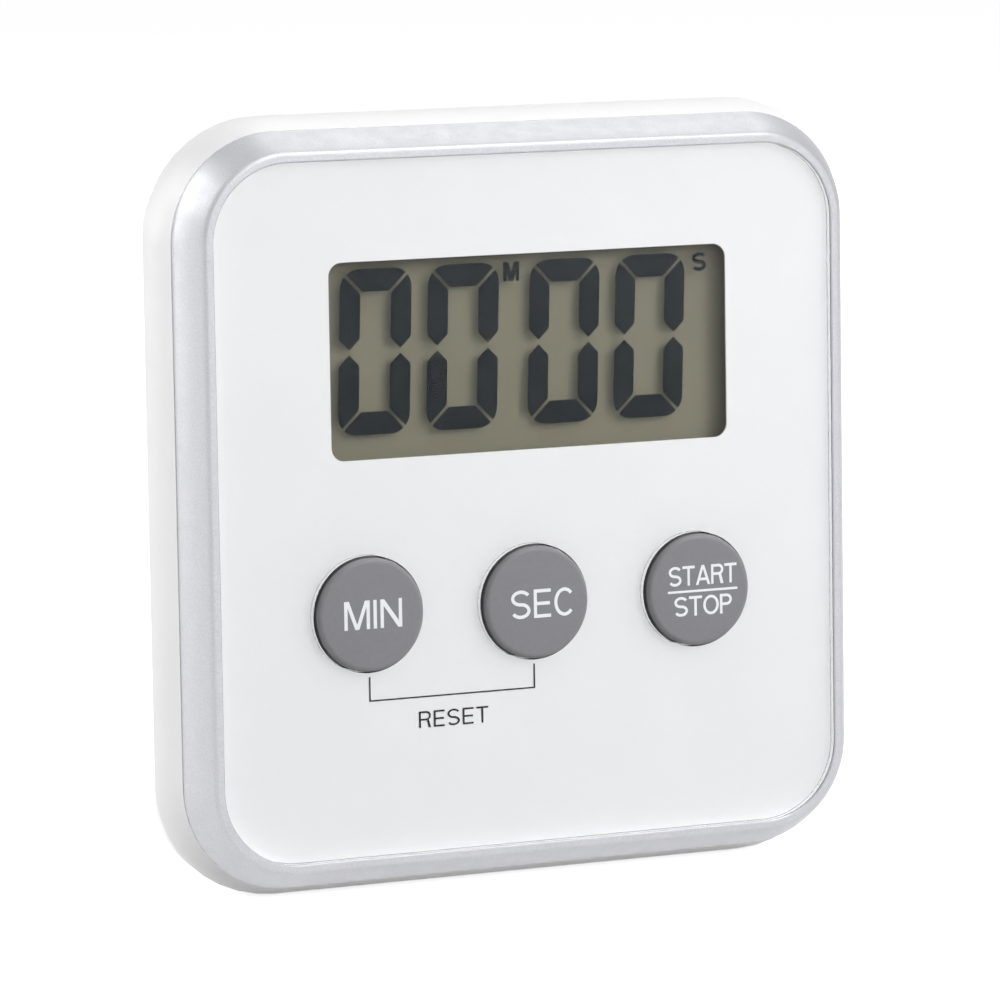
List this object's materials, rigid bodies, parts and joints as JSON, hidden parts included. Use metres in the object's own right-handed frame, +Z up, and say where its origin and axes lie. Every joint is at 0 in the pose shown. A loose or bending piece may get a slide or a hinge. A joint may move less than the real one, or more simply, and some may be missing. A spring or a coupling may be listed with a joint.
{
  "type": "digital kitchen timer",
  "caption": "Square digital kitchen timer with a display, round keys, a silver bezel, a fold-out stand, magnets and a sliding battery door.",
  "frame": {"origin": "bottom centre of the bounding box, under the lower flank that the timer stands on", "axes": "+Z up the face, -Y out of the face, +X to the right of someone who looks at the face"},
  "size_m": [0.0772, 0.0208, 0.0797],
  "materials": {
    "clear_acrylic": "clear, polished",
    "white_print": "even white print",
    "silver_paint": "silver paint with fine flake, satin",
    "white_plastic": "satin white moulding",
    "grey_key": "matte grey",
    "black_rubber": "matte",
    "display_glass": "clear glass with a polariser",
    "reflector": "olive grey reflecting film",
    "white_holder": "plain moulding",
    "board_green": "green solder mask",
    "black_resin": "poured resin",
    "steel": "nickel plated",
    "magnet": "nickel plated",
    "brass": "plain",
    "copper": "enamelled wire",
    "ceramic": "fired",
    "cell_jacket": "printed jacket",
    "wire_black": "insulation",
    "wire_red": "insulation"
  },
  "bodies": {
    "case": {"front_lens": "clear_acrylic", "window_mask": "white_print", "bezel_ring": "silver_paint", "front_housing": "white_plastic", "back_cover": "white_plastic", "lcd_front_glass": "display_glass", "lcd_rear_glass": "display_glass", "lcd_reflector": "reflector", "lcd_holder": "white_holder", "zebra_strip": "black_rubber", "circuit_board": "board_green", "board_screw_1": "steel", "board_screw_2": "steel", "board_screw_3": "steel", "board_screw_4": "steel", "chip_blob": "black_resin", "quartz_crystal": "steel", "boost_coil": "copper", "capacitor_1": "ceramic", "capacitor_2": "ceramic", "case_screw_1": "steel", "case_screw_2": "steel", "case_screw_3": "steel", "case_screw_4": "steel", "rubber_dome_min": "black_rubber", "rubber_dome_sec": "black_rubber", "rubber_dome_start_stop": "black_rubber", "magnet_left": "magnet", "magnet_right": "magnet", "piezo_disc": "brass", "buzzer_wire_1": "wire_black", "buzzer_wire_2": "wire_black", "battery_cell": "cell_jacket", "battery_spring": "steel", "negative_contact": "steel", "positive_contact": "steel", "negative_wire": "wire_black", "positive_wire": "wire_red"},
    "minutes_key": {"key_min": "grey_key"},
    "seconds_key": {"key_sec": "grey_key"},
    "start_stop_key": {"key_start_stop": "grey_key"},
    "stand": {"stand_flap": "white_plastic"},
    "door": {"battery_door": "white_plastic"}
  },
  "joints": [
    {"name": "press_min", "type": "slide", "parent": "case", "child": "minutes_key", "axis": [0, 1, 0], "range_m": [0, 0.0008], "stiffness_N_per_m": 1500, "deforming": ["rubber_dome_min"]},
    {"name": "press_sec", "type": "slide", "parent": "case", "child": "seconds_key", "axis": [0, 1, 0], "range_m": [0, 0.0008], "stiffness_N_per_m": 1500, "deforming": ["rubber_dome_sec"]},
    {"name": "press_start_stop", "type": "slide", "parent": "case", "child": "start_stop_key", "axis": [0, 1, 0], "range_m": [0, 0.0008], "stiffness_N_per_m": 1500, "deforming": ["rubber_dome_start_stop"]},
    {"name": "stand_fold", "type": "hinge", "parent": "case", "child": "stand", "pos_m": [0, 0.00932, 0.03886], "axis": [1, 0, 0], "range_deg": [0, 35]},
    {"name": "door_slide", "type": "slide", "parent": "case", "child": "door", "axis": [1, 0, 0], "range_m": [0, 0.068]}
  ]
}
